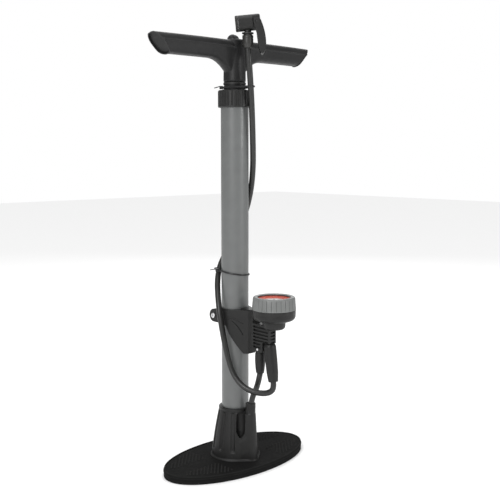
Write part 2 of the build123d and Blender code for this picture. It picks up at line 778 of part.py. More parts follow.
with BuildPart() as red_flange:
    with BuildSketch(Plane.XZ):
        with BuildLine():
            Polyline(
                (flange_r, dial_z + 0.8),
                (cavity_r - seat_gap, dial_z + 0.8),
                (cavity_r - seat_gap, flange_top),
                (cavity_r - 1.6, flange_top),
                (flange_r, dial_z + 1.4),
                (flange_r, dial_z + 0.8),
            )
        make_face()
    revolve(axis=Axis.Z)
red_flange.part = red_flange.part.moved(gauge_at)
red_flange.part.label = "red_flange"
export_step(red_flange.part, "parts/red_flange.step")

with BuildPart() as gauge_lens:
    with BuildSketch(Plane.XY.offset(lens_low)):
        Circle(cavity_r - seat_gap)
    extrude(amount=lens_thickness)
gauge_lens.part = gauge_lens.part.moved(gauge_at)
gauge_lens.part.label = "gauge_lens"
export_step(gauge_lens.part, "parts/gauge_lens.step")

needle_angle = 225.0
needle_length = flange_r - 2.3
with BuildPart() as gauge_pointer:
    with BuildSketch(Plane.XY.offset(dial_z + 1.5)):
        Circle(2.4)
        with BuildLine():
            Polyline((-4.5, 1.0), (needle_length, 0.25), (needle_length, -0.25), (-4.5, -1.0), close=True)
        make_face()
    extrude(amount=0.6)
gauge_pointer.part = gauge_pointer.part.moved(gauge_at * Rot(0, 0, needle_angle))
gauge_pointer.part.label = "gauge_pointer"
export_step(gauge_pointer.part, "parts/gauge_pointer.step")

movement_z = 228.0
tube_ring_r = cavity_r - 6.7
post_offset = tube_ring_r - 8.0
with BuildPart() as pointer_arbor:
    with BuildSketch(Plane.XY.offset(movement_z - 2.0)):
        Circle(arbor_r)
    extrude(amount=dial_z + 1.5 - movement_z + 2.0)
    with BuildSketch(Plane.XY.offset(dial_z - 3.0)):
        Circle(2.4)
    extrude(amount=1.5)
pointer_arbor.part = pointer_arbor.part.moved(gauge_at)
pointer_arbor.part.label = "pointer_arbor"
export_step(pointer_arbor.part, "parts/pointer_arbor.step")

with BuildPart() as gauge_movement:
    with BuildSketch(Plane.XY.offset(movement_z)):
        RectangleRounded(24.0, 14.0, 2.0)
        Circle(arbor_r + fit_gap, mode=Mode.SUBTRACT)
    extrude(amount=1.6)
    with BuildSketch(Plane.XY.offset(case_low + 3.0)):
        with Locations((-post_offset, 0), (post_offset, 0)):
            Circle(2.0)
    extrude(amount=movement_z - case_low - 3.0)
gauge_movement.part = gauge_movement.part.moved(gauge_at)
gauge_movement.part.label = "gauge_movement"
export_step(gauge_movement.part, "parts/gauge_movement.step")

tube_z = 222.5
with BuildPart() as spring_tube:
    with BuildLine():
        tube_arc = CenterArc((0, 0, tube_z), tube_ring_r, 90, -250)
    with BuildSketch(Plane(origin=tube_arc @ 0, z_dir=tube_arc % 0)):
        Ellipse(1.5, 2.6)
    sweep()
spring_tube.part = spring_tube.part.moved(gauge_at)
spring_tube.part.label = "spring_tube"
export_step(spring_tube.part, "parts/spring_tube.step")

with BuildPart() as gauge_stem:
    with BuildSketch(Plane.XY.offset(block_top)):
        with Locations((0, stem_y)):
            Circle(stem_r)
            Circle(1.4, mode=Mode.SUBTRACT)
    extrude(amount=case_low + 3.0 + 2.0 - block_top)
gauge_stem.part.label = "gauge_stem"
export_step(gauge_stem.part, "parts/gauge_stem.step")

# ---------------------------------------------------------------------------------------------------------
# Hoses: each is a round tube along straight runs joined by tangent arcs
# ---------------------------------------------------------------------------------------------------------
head_rise = 32.2            # head's axis above the middle of the grips
head_at = Vector(-7.5, -34.5, grip_z + head_rise)
ferrule_low = head_at.Z - 32.5

supply_points = [
    (0.0, boss_y, boss_top - counterbore),
    (0.0, -34.0, 98.0),
    (0.0, -46.5, 118.0),
    (0.0, supply_y, supply_exit),
]
delivery_points = [
    tuple(delivery_exit),
    (-1.3, -79.4, 121.6),
    (-4.4, -74.2, 115.0),
    (-9.5, -62.8, 112.6),
    (-16.0, -48.5, 114.4),
    (-22.0, -34.5, 122.2),
    (-25.2, -24.5, 134.0),
    (-26.6, -17.0, 149.8),
    (-27.4, -10.8, 169.8),
    (-28.4, -5.2, 193.0),
    (-28.3, 1.0, 219.0),
    (-23.0, 10.5, 242.0),
    (-17.0, 18.0, 260.0),
    (-8.0, 24.0, 277.0),
    (2.5, 25.5, 292.0),
    (13.0, 22.5, 309.0),
    (21.5, 14.5, 331.0),
    (25.5, 4.0, 357.0),
    (25.0, -6.0, 385.0),
    (20.5, -15.0, 416.0),
    (14.0, -21.5, 449.0),
    (8.0, -26.5, 483.0),
    (3.5, -29.5, 512.0),
    (-1.5, -32.5, 538.0),
    (-5.8, -34.8, 560.0),
    (head_at.X, head_at.Y, ferrule_low),
]


def corner_radii(points):
    """The largest even radius that each corner's two runs allow."""
    corners = [Vector(*point) for point in points]
    radii = []
    for before, corner, after in zip(corners, corners[1:], corners[2:]):
        shorter = min((corner - before).length, (after - corner).length)
        turn = (corner - before).get_angle(after - corner)
        radii.append(0.45 * shorter / tan(radians(turn) / 2))
    return radii


for name, points in (("supply_hose", supply_points), ("delivery_hose", delivery_points)):
    radii = corner_radii(points)
    with BuildPart() as hose:
        with BuildLine() as route:
            path = FilletPolyline(*points, radius=radii)
        with BuildSketch(Plane(origin=path @ 0, z_dir=path % 0)):
            Circle(hose_diameter / 2)
        sweep()
    hose.part.label = name
    export_step(hose.part, f"parts/{name}.step")
    print(name, "length", round(path.length, 1),
          "volume ratio", round(hose.part.volume / (pi * hose_diameter**2 / 4 * path.length), 4))
    print(name, "radii", [round(radius, 1) for radius in radii])

# ---------------------------------------------------------------------------------------------------------
# Cable ties
# ---------------------------------------------------------------------------------------------------------
upper_tie_z = collar_top + 2.6
upper_tie_hose = (0.9, -31.0)
lower_tie_z = 270.0
lower_tie_hose = (-9.4, 23.2)
tie_slack = 0.25


def belt(plane, ring_radius, hose_place, hose_radius):
    """A strap round the pump and the hose, in the plane given."""
    with BuildPart() as strap:
        with BuildSketch(plane) as outline:
            Circle(ring_radius + tie_thickness)
            with Locations(hose_place):
                Circle(hose_radius + tie_thickness)
            make_hull()
        extrude(amount=tie_width)
        with BuildSketch(plane) as hollow:
            Circle(ring_radius)
            with Locations(hose_place):
                Circle(hose_radius)
            make_hull()
        extrude(amount=tie_width, mode=Mode.SUBTRACT)
    return strap.part


with BuildPart() as upper_tie:
    add(belt(Plane.XY.offset(upper_tie_z), neck_r + tie_slack, upper_tie_hose, hose_diameter / 2 + 0.5))
    with Locations((-13.5, 11.2, upper_tie_z + tie_width / 2)):
        Box(5.0, 4.4, 4.4, rotation=(0, 0, 50))
    with Locations((-16.4, 16.0, upper_tie_z + 0.6)):
        Box(2.4, 9.0, 1.1, rotation=(-18, 0, 28))
    with Locations((0, 0, upper_tie_z - 2.0)):
        Cylinder(neck_r + tie_slack, 3 * tie_width, align=standing,
                 mode=Mode.SUBTRACT)
upper_tie.part.label = "upper_tie"
export_step(upper_tie.part, "parts/upper_tie.step")

tie_lean = Plane(origin=(0, 0, lower_tie_z), x_dir=(1, 0, -0.10), z_dir=(0.10, -0.095, 1))
with BuildPart() as lower_tie:
    add(belt(tie_lean, barrel_r + tie_slack, lower_tie_hose, hose_diameter / 2 + 1.6))
    with Locations((-19.0, 16.0, lower_tie_z + 4.6)):
        Box(4.4, 5.0, 4.4, rotation=(0, 0, 40))
    with Locations((-23.2, 20.4, lower_tie_z + 5.2)):
        Box(9.0, 2.4, 1.1, rotation=(0, -6, -43))
lower_tie.part = lower_tie.part - barrel.part
lower_tie.part.label = "lower_tie"
export_step(lower_tie.part, "parts/lower_tie.step")

# ---------------------------------------------------------------------------------------------------------
# Pump head, stowed beside the handle: body along u, lever pivot across it
# ---------------------------------------------------------------------------------------------------------
head_turn = -42.9           # direction of the head's axis about Z, in degrees
head_tilt = 5.5             # the lever end stands higher
head_r = head_diameter / 2
head_frame = Plane(
    origin=head_at,
    x_dir=(-sin(radians(head_turn)), cos(radians(head_turn)), 0),
    z_dir=(
        cos(radians(head_turn)) * cos(radians(head_tilt)),
        sin(radians(head_turn)) * cos(radians(head_tilt)),
        sin(radians(head_tilt)),
    ),
)
body_low = -head_length / 2 + 4.0
body_high = head_length / 2
flat_half = head_r - 3.3    # half the thickness between the flats the lever straddles
pivot_along = 12.0
plunger_r = 6.0
plunger_low = -2.4
grommet_r = 8.0
grommet_length = 8.0
neck_bore_r = 4.6
lever_pin_r = 1.5

with BuildPart() as head_socket:
    with Locations(head_at - Vector(0, 0, 14.0)):
        Cylinder(neck_bore_r + fit_gap, 5.2, align=standing)

with BuildPart(head_frame) as head_body:
    with BuildSketch(head_frame.offset(body_low)):
        Circle(head_r)
    extrude(amount=body_high - body_low)
    fillet(head_body.faces().sort_by(Axis(head_at, head_frame.z_dir))[-1].edges(), 2.0)
    for side in (-1, 1):
        with Locations((side * (flat_half + head_r), 0, body_high)):
            Box(2 * head_r, 3 * head_r, 20.0, mode=Mode.SUBTRACT)
    with Locations((0, 0, body_low - 1.0)):
        Cylinder(grommet_r + seat_gap, grommet_length + 1.2, align=standing, mode=Mode.SUBTRACT)
    with Locations((0, 0, body_low)):
        Cylinder(plunger_r + fit_gap, 24.0, align=standing, mode=Mode.SUBTRACT)
    with Locations((0, 0, pivot_along)):
        Cylinder(lever_pin_r + fit_gap, 4 * head_r, rotation=(0, 90, 0), mode=Mode.SUBTRACT)
head_body.part = head_body.part - head_socket.part
head_body.part.label = "head_body"
export_step(head_body.part, "parts/head_body.step")

with BuildPart(head_frame) as head_cap:
    with BuildSketch(head_frame.offset(-head_length / 2)):
        Circle(head_r)
        Circle(chuck_bore / 2 + 0.5, mode=Mode.SUBTRACT)
    extrude(amount=4.0 - seat_gap)
    fillet(head_cap.faces().sort_by(Axis(head_at, head_frame.z_dir))[0].outer_wire().edges(), 1.2)
head_cap.part.label = "head_cap"
export_step(head_cap.part, "parts/head_cap.step")

with BuildPart(head_frame) as head_grommet:
    with BuildSketch(head_frame.offset(body_low)):
        Circle(grommet_r)
        Circle(chuck_bore / 2, mode=Mode.SUBTRACT)
    extrude(amount=grommet_length)
head_grommet.part.label = "head_grommet"
export_step(head_grommet.part, "parts/head_grommet.step")

with BuildPart(head_frame) as head_plunger:
    with BuildSketch(head_frame.offset(plunger_low)):
        Circle(plunger_r)
        Circle(1.6, mode=Mode.SUBTRACT)
    extrude(amount=10.0)
head_plunger.part.label = "head_plunger"
export_step(head_plunger.part, "parts/head_plunger.step")

with BuildPart() as head_neck:
    with BuildSketch(Plane.XZ):
        with BuildLine():
            Polyline(
                (1.3, -30.0),
                (2.6, -30.0),
                (2.6, -15.8),
                (5.6, -15.8),
                (5.6, -14.4),
                (7.7, -14.2),
                (7.7, -12.6),
                (neck_bore_r, -12.2),
                (neck_bore_r, -9.4),
                (1.3, -9.4),
                (1.3, -30.0),
            )
        make_face()
    revolve(axis=Axis.Z)
head_neck.part = head_neck.part.moved(Location(head_at))
head_neck.part.label = "head_neck"
export_step(head_neck.part, "parts/head_neck.step")

ferrule_r = 7.3
with BuildPart() as hose_ferrule:
    with BuildSketch(Plane.XY.offset(ferrule_low)):
        with Locations((head_at.X, head_at.Y)):
            Circle(ferrule_r)
    extrude(amount=head_at.Z - 15.9 - ferrule_low)
    chamfer(hose_ferrule.faces().sort_by(Axis.Z)[0].edges(), 1.6)
    fillet(hose_ferrule.faces().sort_by(Axis.Z)[-1].edges(), 0.8)
    with Locations((head_at.X, head_at.Y, head_at.Z - 30.0 - seat_gap)):
        Cylinder(2.6 + fit_gap, 30.0, align=standing, mode=Mode.SUBTRACT)
hose_ferrule.part.label = "hose_ferrule"
export_step(hose_ferrule.part, "parts/hose_ferrule.step")

lever_half = flat_half + 0.15 + 3.0
lever_plane = Plane(origin=head_at, x_dir=head_frame.z_dir, z_dir=-head_frame.x_dir)
slot_radius = 11.9
with BuildPart(head_frame) as head_lever:
    with BuildSketch(lever_plane):
        with BuildLine():
            lever_outer = Spline(
                (17.2, 1.6),
                (20.6, -12.0),
                (21.6, -25.0),
                (19.6, -37.0),
                (16.0, -42.0),
            )
            Polyline(lever_outer @ 1, (13.4, -41.0), (11.0, -31.0), (10.4, -12.0),
                     (7.4, -1.0), (9.0, 4.0), (14.6, 4.6), lever_outer @ 0)
        make_face()
    extrude(amount=lever_half, both=True)
    with Locations((0, 0, pivot_along)):
        Cylinder(slot_radius, 2 * (flat_half + 0.15), rotation=(0, 90, 0), mode=Mode.SUBTRACT)
        Cylinder(lever_pin_r + fit_gap, 4 * head_r, rotation=(0, 90, 0), mode=Mode.SUBTRACT)
head_lever.part.label = "head_lever"
export_step(head_lever.part, "parts/head_lever.step")

with BuildPart(head_frame) as lever_pin:
    with Locations((0, 0, pivot_along)):
        Cylinder(lever_pin_r, 2 * lever_half + 0.6, rotation=(0, 90, 0))
lever_pin.part.label = "lever_pin"
export_step(lever_pin.part, "parts/lever_pin.step")

lever_pivot = head_at + head_frame.z_dir * pivot_along
print("lever pivot", [round(v, 3) for v in lever_pivot], "axis", [round(-v, 5) for v in head_frame.x_dir])
print("head axis", [round(v, 5) for v in head_frame.z_dir])
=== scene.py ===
import json
from math import cos, pi, radians, sin, sqrt, tau

import bmesh
import bpy
from mathutils import Matrix, Vector


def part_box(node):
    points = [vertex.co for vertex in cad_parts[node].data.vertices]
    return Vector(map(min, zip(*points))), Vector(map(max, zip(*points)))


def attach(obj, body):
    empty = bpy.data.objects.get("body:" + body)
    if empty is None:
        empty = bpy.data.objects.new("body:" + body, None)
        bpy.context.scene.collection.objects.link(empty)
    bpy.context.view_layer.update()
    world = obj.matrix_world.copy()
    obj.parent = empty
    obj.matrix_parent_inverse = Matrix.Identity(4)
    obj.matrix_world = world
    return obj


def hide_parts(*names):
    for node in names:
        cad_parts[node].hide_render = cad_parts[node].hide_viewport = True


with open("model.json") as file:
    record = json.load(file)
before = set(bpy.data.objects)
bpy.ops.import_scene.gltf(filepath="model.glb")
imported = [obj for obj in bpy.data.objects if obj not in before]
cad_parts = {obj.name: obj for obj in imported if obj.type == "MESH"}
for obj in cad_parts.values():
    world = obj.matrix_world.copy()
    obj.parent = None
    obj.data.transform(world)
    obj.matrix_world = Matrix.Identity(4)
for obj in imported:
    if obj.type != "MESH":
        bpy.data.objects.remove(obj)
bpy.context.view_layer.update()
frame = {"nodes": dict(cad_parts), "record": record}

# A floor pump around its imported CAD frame. Shapes are drawn in millimetres, and MM turns them into metres.
MM = 0.001
NODES = frame["nodes"]


# ---------------------------------------------------------------------------------------------------------
# Places taken from the frame
# ---------------------------------------------------------------------------------------------------------
def corners(node):
    """Lowest and highest corners of a CAD node, in millimetres."""
    low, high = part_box(node)
    return low / MM, high / MM


foot_high = corners("foot")[1]
cap_high = corners("top_cap")[1]
case_low = corners("gauge_case")[0]
dial_high = corners("gauge_dial")[1]
handle_low, handle_high = corners("handle")
ring_low, ring_high = corners("gauge_ring")
lens_low, lens_high = corners("gauge_lens")
supply_low, supply_high = corners("supply_connector")
ferrule_low, ferrule_high = corners("hose_ferrule")

BARREL_R = corners("barrel")[1].x
GAUGE = (ring_low + ring_high) / 2
RING_R = (ring_high.x - ring_low.x) / 2
BOSS_Y = -32.0
BOSS_R = 7.0
HOSE_R = 4.0
SUPPLY_Y = -51.0


# ---------------------------------------------------------------------------------------------------------
# Camera
# ---------------------------------------------------------------------------------------------------------
AZIMUTH = radians(-42.94)
ELEVATION = radians(6.57)
CAMERA_PLACE = (-0.7787, -0.8675, 0.4367)
CAMERA_LENS = 60.7


def add_camera():
    back = Vector((sin(AZIMUTH) * cos(ELEVATION), -cos(AZIMUTH) * cos(ELEVATION), sin(ELEVATION)))
    right = Vector((cos(AZIMUTH), sin(AZIMUTH), 0.0))
    turn = Matrix((right, back.cross(right), back)).transposed().to_4x4()
    camera = bpy.data.objects.new("camera", bpy.data.cameras.new("camera"))
    camera.data.lens = CAMERA_LENS
    camera.matrix_world = Matrix.Translation(CAMERA_PLACE) @ turn
    bpy.context.scene.collection.objects.link(camera)
    bpy.context.scene.camera = camera


add_camera()


# ---------------------------------------------------------------------------------------------------------
# Materials
# ---------------------------------------------------------------------------------------------------------
FINISH = {}
MOTTLE_SCALE = 60.0


def material(slot, color, roughness, grain=0.0, grain_scale=2500.0, wear_and_highlight=0.0, mottle=0.12, spread=0.08,
             metallic=0.0, specular=0.5, coat=0.0, alpha=1.0, stretch=(1, 1, 1)):
    """Adds a finish with mottled colour and gloss, a fine grain in its normals and paler edges, which stand
    partly for wear and partly for a painted edge highlight.
    """
    mat = bpy.data.materials.new(slot)
    mat.use_nodes = True
    nodes, links = mat.node_tree.nodes, mat.node_tree.links
    shader = nodes["Principled BSDF"]
    shader.inputs["Metallic"].default_value = metallic
    shader.inputs["Specular IOR Level"].default_value = specular
    shader.inputs["Coat Weight"].default_value = coat
    shader.inputs["Alpha"].default_value = alpha
    place = nodes.new("ShaderNodeTexCoord")
    scale = nodes.new("ShaderNodeMapping")
    scale.inputs["Scale"].default_value = stretch
    links.new(place.outputs["Object"], scale.inputs["Vector"])

    def noise(frequency, detail):
        node = nodes.new("ShaderNodeTexNoise")
        node.inputs["Scale"].default_value = frequency
        node.inputs["Detail"].default_value = detail
        links.new(scale.outputs["Vector"], node.inputs["Vector"])
        return node.outputs["Fac"]

    def spread_to(source, low, high):
        node = nodes.new("ShaderNodeMapRange")
        node.inputs["From Min"].default_value = 0.3
        node.inputs["From Max"].default_value = 0.7
        node.inputs["To Min"].default_value = low
        node.inputs["To Max"].default_value = high
        links.new(source, node.inputs["Value"])
        return node.outputs["Result"]

    cloud = noise(MOTTLE_SCALE, 5.0)
    tint = nodes.new("ShaderNodeMix")
    tint.data_type = "RGBA"
    tint.inputs["A"].default_value = (*[c * (1 - mottle) for c in color], 1)
    tint.inputs["B"].default_value = (*[min(1.0, c * (1 + mottle)) for c in color], 1)
    links.new(spread_to(cloud, 0.0, 1.0), tint.inputs["Factor"])
    base = tint.outputs["Result"]
    # convex edges get a paler colour: partly wear, partly a painted highlight where edges catch the light
    if wear_and_highlight:
        geometry = nodes.new("ShaderNodeNewGeometry")
        edge = nodes.new("ShaderNodeMapRange")
        edge.inputs["From Min"].default_value = 0.51
        edge.inputs["From Max"].default_value = 0.62
        edge.inputs["To Max"].default_value = wear_and_highlight
        links.new(geometry.outputs["Pointiness"], edge.inputs["Value"])
        worn_and_highlit = nodes.new("ShaderNodeMix")
        worn_and_highlit.data_type = "RGBA"
        worn_and_highlit.inputs["B"].default_value = (*[min(1.0, c * 2.4 + 0.02) for c in color], 1)
        links.new(edge.outputs["Result"], worn_and_highlit.inputs["Factor"])
        links.new(base, worn_and_highlit.inputs["A"])
        base = worn_and_highlit.outputs["Result"]
    links.new(base, shader.inputs["Base Color"])
    links.new(spread_to(noise(MOTTLE_SCALE * 4, 4.0), roughness - spread, roughness + spread),
              shader.inputs["Roughness"])
    if grain:
        bump = nodes.new("ShaderNodeBump")
        bump.inputs["Strength"].default_value = grain
        bump.inputs["Distance"].default_value = 0.1 * MM
        links.new(noise(grain_scale, 3.0), bump.inputs["Height"])
        links.new(bump.outputs["Normal"], shader.inputs["Normal"])
    FINISH[slot] = mat


# Each wear value below makes edges paler, partly as wear and partly as a painted edge highlight.
material("satin_grey_paint", (0.128, 0.133, 0.132), 0.38, grain=0.10, grain_scale=900.0, mottle=0.05,
         spread=0.05, coat=0.12)
material("black_moulding", (0.0095, 0.0095, 0.0092), 0.46, grain=0.30, wear_and_highlight=0.35, specular=0.34)
material("grip_plastic", (0.0085, 0.0085, 0.0088), 0.48, grain=0.45, wear_and_highlight=0.45, grain_scale=3200.0,
         specular=0.34)
material("ring_plastic", (0.150, 0.155, 0.152), 0.44, grain=0.2, wear_and_highlight=0.3, mottle=0.06)
material("red_plastic", (0.60, 0.062, 0.020), 0.28, grain=0.08, mottle=0.06)
material("dial_white", (0.84, 0.84, 0.82), 0.55, grain=0.05, mottle=0.02)
material("pointer_black", (0.010, 0.010, 0.010), 0.4, mottle=0.1)
material("lens_clear", (0.35, 0.37, 0.38), 0.06, mottle=0.02, spread=0.02, alpha=0.09)
material("hose_rubber", (0.014, 0.014, 0.0133), 0.36, grain=0.22, grain_scale=1800.0, mottle=0.15,
         stretch=(1, 1, 0.35))
material("black_rubber", (0.012, 0.012, 0.012), 0.68, grain=0.3)
material("tie_nylon", (0.010, 0.010, 0.0105), 0.34, grain=0.12, mottle=0.1)
material("zinc_steel", (0.66, 0.66, 0.67), 0.30, grain=0.15, metallic=1.0, mottle=0.08)
material("rod_steel", (0.72, 0.72, 0.73), 0.18, grain=0.05, metallic=1.0, mottle=0.04, spread=0.05,
         stretch=(1, 1, 0.05))
material("brass", (0.72, 0.52, 0.22), 0.32, grain=0.1, metallic=1.0, mottle=0.1)
material("alloy", (0.6, 0.6, 0.6), 0.34, grain=0.2, metallic=1.0, mottle=0.08)
material("ferrule_dark", (0.026, 0.0255, 0.024), 0.40, grain=0.2, metallic=0.2, mottle=0.15)
material("matt_plate", (0.0085, 0.0085, 0.0083), 0.82, grain=0.5, wear_and_highlight=0.5, specular=0.07)
for subpart in frame["record"]["subparts"]:
    NODES[subpart["node"]].data.materials.clear()
    NODES[subpart["node"]].data.materials.append(FINISH[subpart["material_slot"]])


# ---------------------------------------------------------------------------------------------------------
# Mesh helpers
# ---------------------------------------------------------------------------------------------------------
def link(name, data, slot, body, nodes=()):
    """Makes an object of a mesh or curve, in its finish, riding on its body."""
    obj = bpy.data.objects.new(name, data)
    bpy.context.scene.collection.objects.link(obj)
    data.materials.append(FINISH[slot])
    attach(obj, body)
    if nodes:
        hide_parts(*nodes)
    return obj


def mesh_of(name, bm, smooth=True):
    """Turns a bmesh that was built in millimetres into a mesh in metres."""
    bmesh.ops.remove_doubles(bm, verts=bm.verts, dist=1e-4)
    bmesh.ops.recalc_face_normals(bm, faces=bm.faces)
    bmesh.ops.scale(bm, vec=(MM, MM, MM), verts=bm.verts)
    mesh = bpy.data.meshes.new(name)
    bm.to_mesh(mesh)
    bm.free()
    for polygon in mesh.polygons:
        polygon.use_smooth = smooth
    return mesh


def bake(obj):
    """Applies an object's modifiers."""
    graph = bpy.context.evaluated_depsgraph_get()
    mesh = bpy.data.meshes.new_from_object(obj.evaluated_get(graph))
    obj.modifiers.clear()
    obj.data = mesh
    for polygon in mesh.polygons:
        polygon.use_smooth = True


def sharpen(obj, angle=38.0):
    """Keeps edges that turn more than the angle crisp under smooth shading."""
    bm = bmesh.new()
    bm.from_mesh(obj.data)
    for edge in bm.edges:
        edge.smooth = len(edge.link_faces) == 2 and edge.calc_face_angle(0.0) < radians(angle)
    bm.to_mesh(obj.data)
    bm.free()


def skin(bm, rings, caps=True):
    """Joins rings of equally many points with quads, and closes both ends."""
    made = [[bm.verts.new(point) for point in ring] for ring in rings]
    for low, high in zip(made, made[1:]):
        for i in range(len(low)):
            j = (i + 1) % len(low)
            bm.faces.new((low[i], low[j], high[j], high[i]))
    if caps:
        bm.faces.new(list(reversed(made[0])))
        bm.faces.new(made[-1])


def circle(radius, z, count, centre=(0.0, 0.0)):
    return [(centre[0] + radius * cos(tau * i / count), centre[1] + radius * sin(tau * i / count), z)
            for i in range(count)]


def lathe(bm, profile, count=96, at=Matrix.Identity(4)):
    """Turns a profile of (radius, height) about an axis. A profile that is closed in itself makes a ring."""
    closed = profile[0] == profile[-1]
    rings = [[at @ Vector(p) for p in circle(max(r, 1e-3), z, count)] for r, z in profile]
    skin(bm, rings, caps=not closed)


def hull_point(away, radius, far, far_radius):
    """Furthest point in one direction of two discs, one on the axis and one at far."""
    if far.dot(away) + far_radius > radius:
        return far + far_radius * away
    return radius * away


def hull_ring(radius, far, far_radius, z, count=288):
    """Outline round the two discs at one height."""
    ring = []
    for i in range(count):
        away = Vector((cos(tau * i / count), sin(tau * i / count)))
        point = hull_point(away, radius, far, far_radius)
        ring.append((point.x, point.y, z))
    return ring


def box(bm, centre, size, turn=Matrix.Identity(4)):
    made = bmesh.ops.create_cube(bm, size=1.0)["verts"]
    place = Matrix.Translation(centre) @ turn @ Matrix.Diagonal((*size, 1.0))
    bmesh.ops.transform(bm, matrix=place, verts=made)
    return made


def remesh(obj, voxel, smoothing):
    """Melts overlapping closed forms into one skin, as a moulding's fillets do."""
    melt = obj.modifiers.new("melt", "REMESH")
    melt.mode = "VOXEL"
    melt.voxel_size = voxel * MM
    if smoothing:
        relax = obj.modifiers.new("relax", "SMOOTH")
        relax.factor = 0.5
        relax.iterations = smoothing
    bake(obj)


def carve(obj, bm):
    """Cuts the closed forms in bm out of the object."""
    cutter = bpy.data.objects.new("cutter", mesh_of("cutter", bm))
    bpy.context.scene.collection.objects.link(cutter)
    cut = obj.modifiers.new("cut", "BOOLEAN")
    cut.operation = "DIFFERENCE"
    cut.solver = "EXACT"
    cut.object = cutter
    bake(obj)
    bpy.data.objects.remove(cutter)


def tube(name, points, radius, slot, body, nodes=()):
    """A round cord along one smooth line."""
    data = bpy.data.curves.new(name, "CURVE")
    data.dimensions = "3D"
    spline = data.splines.new("NURBS")
    spline.points.add(len(points) - 1)
    for point, place in zip(spline.points, points):
        point.co = (*place, 1.0)
    spline.order_u = 3
    spline.use_endpoint_u = True
    spline.resolution_u = 14
    data.bevel_depth = radius * MM
    data.bevel_resolution = 7
    data.use_fill_caps = True
    return link(name, data, slot, body, nodes)


# ---------------------------------------------------------------------------------------------------------
# Hoses
# ---------------------------------------------------------------------------------------------------------
SUPPLY_ROUTE = [
    (0.0, -0.032, 0.082),
    (0.0, -0.034, 0.098),
    (0.0, -0.0465, 0.118),
    (0.0, -0.051, 0.137),
]
DELIVERY_ROUTE = [
    (-0.0010, -0.0779, 0.1305),
    (-0.0013, -0.0794, 0.1216),
    (-0.0044, -0.0742, 0.1150),
    (-0.0095, -0.0628, 0.1126),
    (-0.0160, -0.0485, 0.1144),
    (-0.0220, -0.0345, 0.1222),
    (-0.0252, -0.0245, 0.1340),
    (-0.0266, -0.0170, 0.1498),
    (-0.0274, -0.0108, 0.1698),
    (-0.0284, -0.0052, 0.1930),
    (-0.0283, 0.0010, 0.2190),
    (-0.0230, 0.0105, 0.2420),
    (-0.0170, 0.0180, 0.2600),
    (-0.0080, 0.0240, 0.2770),
    (0.0025, 0.0255, 0.2920),
    (0.0130, 0.0225, 0.3090),
    (0.0215, 0.0145, 0.3310),
    (0.0255, 0.0040, 0.3570),
    (0.0250, -0.0060, 0.3850),
    (0.0205, -0.0150, 0.4160),
    (0.0140, -0.0215, 0.4490),
    (0.0080, -0.0265, 0.4830),
    (0.0035, -0.0295, 0.5120),
    (-0.0015, -0.0325, 0.5380),
    (-0.0058, -0.0348, 0.5600),
    (-0.0075, -0.0345, 0.5740),
]
supply = tube("supply_hose_line", SUPPLY_ROUTE, HOSE_R, "hose_rubber", "pump_body", ["supply_hose"])
delivery = tube("delivery_hose_line", DELIVERY_ROUTE, HOSE_R, "hose_rubber", "pump_body", ["delivery_hose"])


# ---------------------------------------------------------------------------------------------------------
# Foot: oval plate with a raised bead round its edge, tread studs on its wings and ribs beneath
# ---------------------------------------------------------------------------------------------------------
FOOT_A = foot_high.x
FOOT_B = foot_high.y
RIM_TOP = foot_high.z - 3.2
PLATE_INSET = 4.2
TOWER_FOOT = RIM_TOP + 0.6
UNDERSIDE = 5.6
RIB_PITCH = 24.0
RIB_WIDTH = 2.4
RIB_MIDDLE = 3.0
RIB_INSET = 6.4
STUD_PITCH = 6.2
TREAD_START = 44.0
TREAD_END = 104.0
TREAD_GAP = 12.0


def plate_height(x, y):
    """Height of the plate's top, which rises half a millimetre towards its middle."""
    share = (x / (FOOT_A - PLATE_INSET)) ** 2 + (y / (FOOT_B - PLATE_INSET)) ** 2
    return RIM_TOP + 0.1 + 0.5 * max(0.0, 1 - share) ** 0.8


def oval(inset, z, count=180):
    return [((FOOT_A - inset) * cos(tau * i / count), (FOOT_B - inset) * sin(tau * i / count), z)
            for i in range(count)]


def foot_plate():
    bm = bmesh.new()
    # from the underside out to the edge, then up and over the bead
    edge = [(9.0, UNDERSIDE), (7.0, 5.0), (6.6, 0.4), (6.2, 0.0), (1.0, 0.0), (0.5, 0.5), (0.5, 6.6),
            (0.05, 7.1), (0.05, 7.9), (0.5, 8.4), (0.6, RIM_TOP - 0.2), (0.9, RIM_TOP + 0.7),
            (1.5, RIM_TOP + 1.1), (2.3, RIM_TOP + 1.0), (2.8, RIM_TOP + 0.3), (3.2, RIM_TOP - 0.1),
            (4.2, RIM_TOP + 0.1)]
    rings = [[(0.02 * cos(tau * i / 180), 0.01 * sin(tau * i / 180), UNDERSIDE) for i in range(180)]]
    rings += [oval(inset, z) for inset, z in edge]
    for step in range(1, 31):
        share = 1 - step / 30 * 0.999
        flat = [(x * share, y * share) for x, y, _ in oval(PLATE_INSET, 0.0)]
        rings.append([(x, y, plate_height(x, y)) for x, y in flat])
    skin(bm, rings)
    for k in range(-4, 5):
        x = RIB_PITCH * k
        half = (FOOT_B - RIB_INSET) * sqrt(1 - (x / FOOT_A) ** 2)
        box(bm, (x, 0, RIB_MIDDLE), (RIB_WIDTH, 2 * half, UNDERSIDE))
    for k in (-1.5, -0.5, 0.5, 1.5):
        y = RIB_PITCH * k
        half = (FOOT_A - RIB_INSET) * sqrt(1 - (y / FOOT_B) ** 2)
        box(bm, (0, y, RIB_MIDDLE), (2 * half, RIB_WIDTH, UNDERSIDE))
    plate = link("foot_plate", mesh_of("foot_plate", bm), "black_moulding", "pump_body", ["foot"])
    plate.data.materials[0] = FINISH["matt_plate"]
    sharpen(plate)


